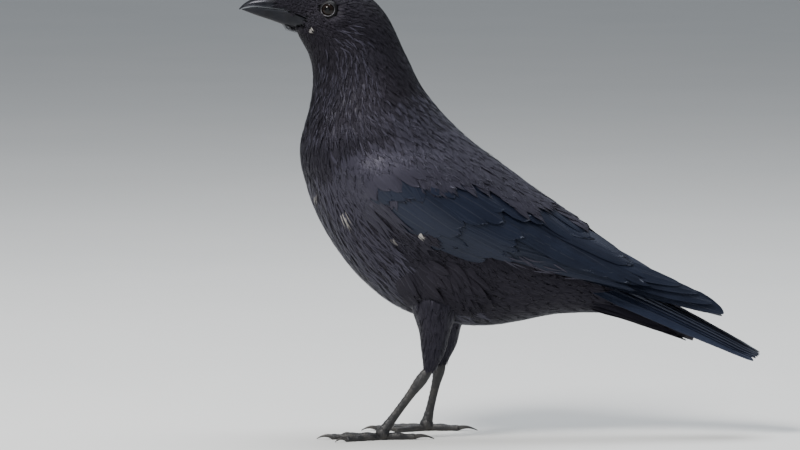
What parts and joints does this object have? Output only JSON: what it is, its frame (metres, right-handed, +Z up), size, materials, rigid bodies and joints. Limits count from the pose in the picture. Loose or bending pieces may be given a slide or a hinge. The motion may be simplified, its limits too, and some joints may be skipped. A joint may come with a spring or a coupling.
{
  "type": "carrion crow",
  "caption": "Life-size still model of a standing crow, facing left, with folded wings, closed tail, heavy bill and separate toes and claws.",
  "frame": {"origin": "on the floor under the middle of the bird's bounding box", "axes": "+Z up; the bird faces -X; its left side is towards -Y"},
  "size_m": [0.4012, 0.108, 0.3487],
  "materials": {
    "plumage": "soft black body feathers with a faint violet-grey sheen",
    "flight_feather": "smooth black wing and tail feathers with a blue gloss",
    "horn": "semi-gloss blackish horn, dulled and scratched along the edges",
    "scaled_skin": "black scaled skin of the legs and toes, half gloss",
    "eye": "wet, glossy dark brown eye"
  },
  "bodies": {
    "root": {"bill_upper": "horn", "bill_lower": "horn", "eye_left": "eye", "eye_right": "eye", "head": "plumage", "neck": "plumage", "trunk": "plumage", "undertail": "plumage", "wing_left_arm": "plumage", "wing_left_panel": "flight_feather", "primary_left_1": "flight_feather", "primary_left_2": "flight_feather", "primary_left_3": "flight_feather", "primary_left_4": "flight_feather", "primary_left_5": "flight_feather", "tail_left_1": "flight_feather", "tail_left_2": "flight_feather", "tail_left_3": "flight_feather", "tail_left_4": "flight_feather", "tail_left_5": "flight_feather", "tail_left_6": "flight_feather", "shank_left": "plumage", "tarsus_left": "scaled_skin", "toe_left_1": "scaled_skin", "claw_left_1": "horn", "toe_left_2": "scaled_skin", "claw_left_2": "horn", "toe_left_3": "scaled_skin", "claw_left_3": "horn", "toe_left_4": "scaled_skin", "claw_left_4": "horn", "wing_right_arm": "plumage", "wing_right_panel": "flight_feather", "primary_right_1": "flight_feather", "primary_right_2": "flight_feather", "primary_right_3": "flight_feather", "primary_right_4": "flight_feather", "primary_right_5": "flight_feather", "tail_right_1": "flight_feather", "tail_right_2": "flight_feather", "tail_right_3": "flight_feather", "tail_right_4": "flight_feather", "tail_right_5": "flight_feather", "tail_right_6": "flight_feather", "shank_right": "plumage", "tarsus_right": "scaled_skin", "toe_right_1": "scaled_skin", "claw_right_1": "horn", "toe_right_2": "scaled_skin", "claw_right_2": "horn", "toe_right_3": "scaled_skin", "claw_right_3": "horn", "toe_right_4": "scaled_skin", "claw_right_4": "horn"}
  },
  "joints": []
}
